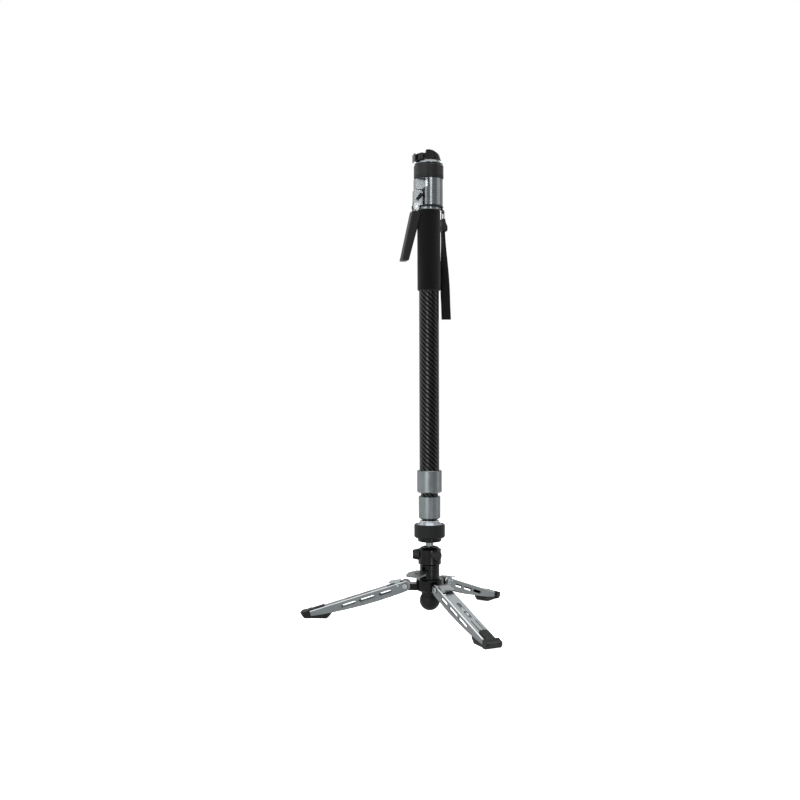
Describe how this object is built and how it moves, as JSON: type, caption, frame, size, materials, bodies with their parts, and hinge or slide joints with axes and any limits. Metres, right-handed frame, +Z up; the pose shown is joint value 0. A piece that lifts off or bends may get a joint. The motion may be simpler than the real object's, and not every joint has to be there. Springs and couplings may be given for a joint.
{
  "type": "camera monopod",
  "caption": "Telescopic camera monopod with a squeeze-trigger release handle, quick-release head, ball joint and folding tripod base.",
  "frame": {"origin": "middle of the footprint of the closed monopod standing on its open legs, at floor level", "axes": "+Z up along the pole, -X towards the trigger, +X towards the wrist strap"},
  "size_m": [0.3656, 0.3574, 0.7526],
  "materials": {
    "black_metal": "satin black anodised",
    "grey_metal": "bead-blasted grey anodised",
    "silver_metal": "satin",
    "steel": "satin",
    "carbon": "twill-woven carbon fibre under clear lacquer",
    "rubber": "matte",
    "foam": "closed-cell foam, matte",
    "black_plastic": "fine texture",
    "webbing": "woven polyester"
  },
  "bodies": {
    "base_hub": {"hub": "black_metal", "ball_foot": "rubber", "leg_bolts": "steel", "column": "black_metal", "pedal_pin": "steel"},
    "leg_1": {"leg_1": "grey_metal", "foot_1": "rubber", "latch_pin_1": "steel"},
    "latch_1": {"latch_1": "silver_metal"},
    "leg_2": {"leg_2": "grey_metal", "foot_2": "rubber", "latch_pin_2": "steel"},
    "latch_2": {"latch_2": "silver_metal"},
    "leg_3": {"leg_3": "grey_metal", "foot_3": "rubber", "latch_pin_3": "steel"},
    "latch_3": {"latch_3": "silver_metal"},
    "pedal": {"pedal": "grey_metal"},
    "plunger": {"lock_plunger": "steel"},
    "ball_base": {"socket": "black_metal", "socket_cap": "black_metal"},
    "tilt_knob": {"tilt_knob": "black_plastic"},
    "drag_knob": {"drag_knob": "black_plastic"},
    "lower_pole": {"tilt_ball": "steel", "platform": "black_metal", "adapter": "silver_metal", "lower_tube": "carbon", "lower_brake": "grey_metal"},
    "coupling_ring": {"coupling_ring": "black_metal"},
    "middle_section": {"middle_tube": "carbon", "lower_collar": "grey_metal", "lower_bush": "black_plastic", "middle_brake": "grey_metal"},
    "upper_section": {"main_tube": "carbon", "upper_collar": "grey_metal", "upper_bush": "black_plastic", "foam_grip": "foam", "neck_ring": "silver_metal", "trim_ring": "black_plastic", "body": "grey_metal", "trigger_housing": "silver_metal", "trigger_pin": "steel", "silver_ring": "silver_metal", "receiver": "black_metal", "receiver_screws": "steel", "strap_eye": "steel"},
    "trigger": {"trigger_arm": "silver_metal", "trigger_grip": "black_plastic"},
    "trigger_lock": {"trigger_lock": "black_plastic"},
    "release": {"release_rod": "silver_metal", "pull_block": "grey_metal"},
    "lock_ring": {"lock_ring": "rubber"},
    "jaw": {"jaw": "black_metal"},
    "strap": {"split_ring": "steel", "buckle": "black_plastic", "webbing": "webbing"}
  },
  "joints": [
    {"name": "leg_1_fold", "type": "hinge", "parent": "base_hub", "child": "leg_1", "pos_m": [-0.01665, 0.04097, 0.05431], "axis": [0.3007, 0.9537, 0], "range_deg": [0, 100]},
    {"name": "latch_1_press", "type": "hinge", "parent": "leg_1", "child": "latch_1", "pos_m": [-0.02786, 0.0445, 0.05487], "axis": [-0.3007, -0.9537, 0], "range_deg": [0, 10], "stiffness_Nm_per_rad": 0.05, "springref_deg": -20.05},
    {"name": "leg_2_fold", "type": "hinge", "parent": "base_hub", "child": "leg_2", "pos_m": [0.05015, 0.05577, 0.05431], "axis": [0.6756, -0.7373, 0], "range_deg": [0, 100]},
    {"name": "latch_2_press", "type": "hinge", "parent": "leg_2", "child": "latch_2", "pos_m": [0.05882, 0.06372, 0.05487], "axis": [-0.6756, 0.7373, 0], "range_deg": [0, 10], "stiffness_Nm_per_rad": 0.05, "springref_deg": -20.05},
    {"name": "leg_3_fold", "type": "hinge", "parent": "base_hub", "child": "leg_3", "pos_m": [0.02957, -0.00948, 0.05431], "axis": [-0.9763, -0.2164, 0], "range_deg": [0, 100]},
    {"name": "latch_3_press", "type": "hinge", "parent": "leg_3", "child": "latch_3", "pos_m": [0.03212, -0.02096, 0.05487], "axis": [0.9763, 0.2164, 0], "range_deg": [0, 10], "stiffness_Nm_per_rad": 0.05, "springref_deg": -20.05},
    {"name": "pedal_press", "type": "hinge", "parent": "base_hub", "child": "pedal", "pos_m": [0.01222, 0.02169, 0.07531], "axis": [0.6428, -0.766, 0], "range_deg": [0, 12], "stiffness_Nm_per_rad": 0.5, "springref_deg": -17.19},
    {"name": "plunger_lift", "type": "slide", "parent": "base_hub", "child": "plunger", "axis": [0, 0, 1], "range_m": [0, 0.00165]},
    {"name": "pan", "type": "hinge", "parent": "base_hub", "child": "ball_base", "pos_m": [0.02102, 0.02909, 0.08881], "axis": [0, 0, 1], "continuous": true},
    {"name": "tilt_knob_turn", "type": "hinge", "parent": "ball_base", "child": "tilt_knob", "pos_m": [0.00261, 0.03233, 0.10491], "axis": [-0.9848, 0.1736, 0], "range_deg": [0, 180]},
    {"name": "drag_knob_turn", "type": "hinge", "parent": "ball_base", "child": "drag_knob", "pos_m": [0.02818, 0.01181, 0.10491], "axis": [0.3827, -0.9239, 0], "range_deg": [0, 180]},
    {"name": "ball_tilt", "type": "hinge", "parent": "ball_base", "child": "lower_pole", "pos_m": [0.02102, 0.02909, 0.10491], "axis": [0, 1, 0], "range_deg": [-15, 15]},
    {"name": "coupling_turn", "type": "hinge", "parent": "lower_pole", "child": "coupling_ring", "pos_m": [0.02102, 0.02909, 0.13211], "axis": [0, 0, 1], "continuous": true},
    {"name": "lower_extend", "type": "slide", "parent": "lower_pole", "child": "middle_section", "axis": [0, 0, 1], "range_m": [0, 0.38]},
    {"name": "upper_extend", "type": "slide", "parent": "middle_section", "child": "upper_section", "axis": [0, 0, 1], "range_m": [0, 0.38]},
    {"name": "trigger_squeeze", "type": "hinge", "parent": "upper_section", "child": "trigger", "pos_m": [0.00003, 0.02909, 0.66321], "axis": [0, -1, 0], "range_deg": [0, 8], "stiffness_Nm_per_rad": 1, "springref_deg": -8.59},
    {"name": "trigger_lock_slide", "type": "slide", "parent": "trigger", "child": "trigger_lock", "axis": [0, 0, 1], "range_m": [0, 0.003]},
    {"name": "release_lift", "type": "slide", "parent": "upper_section", "child": "release", "axis": [0, 0, 1], "range_m": [0, 0.0025]},
    {"name": "lock_ring_turn", "type": "hinge", "parent": "upper_section", "child": "lock_ring", "pos_m": [0.02102, 0.02909, 0.70831], "axis": [0, 0, 1], "range_deg": [0, 60]},
    {"name": "jaw_slide", "type": "slide", "parent": "upper_section", "child": "jaw", "axis": [-1, 0, 0], "range_m": [0, 0.004], "stiffness_N_per_m": 500, "springref_m": -0.004},
    {"name": "strap_swing", "type": "hinge", "parent": "upper_section", "child": "strap", "pos_m": [0.04442, 0.02909, 0.65641], "axis": [0, -1, 0], "range_deg": [0, 80]}
  ],
  "couplings": [
    {"joint": "plunger_lift", "follows": "pedal_press", "m_per_rad": 0.00764},
    {"joint": "release_lift", "follows": "trigger_squeeze", "m_per_rad": 0.0175}
  ]
}
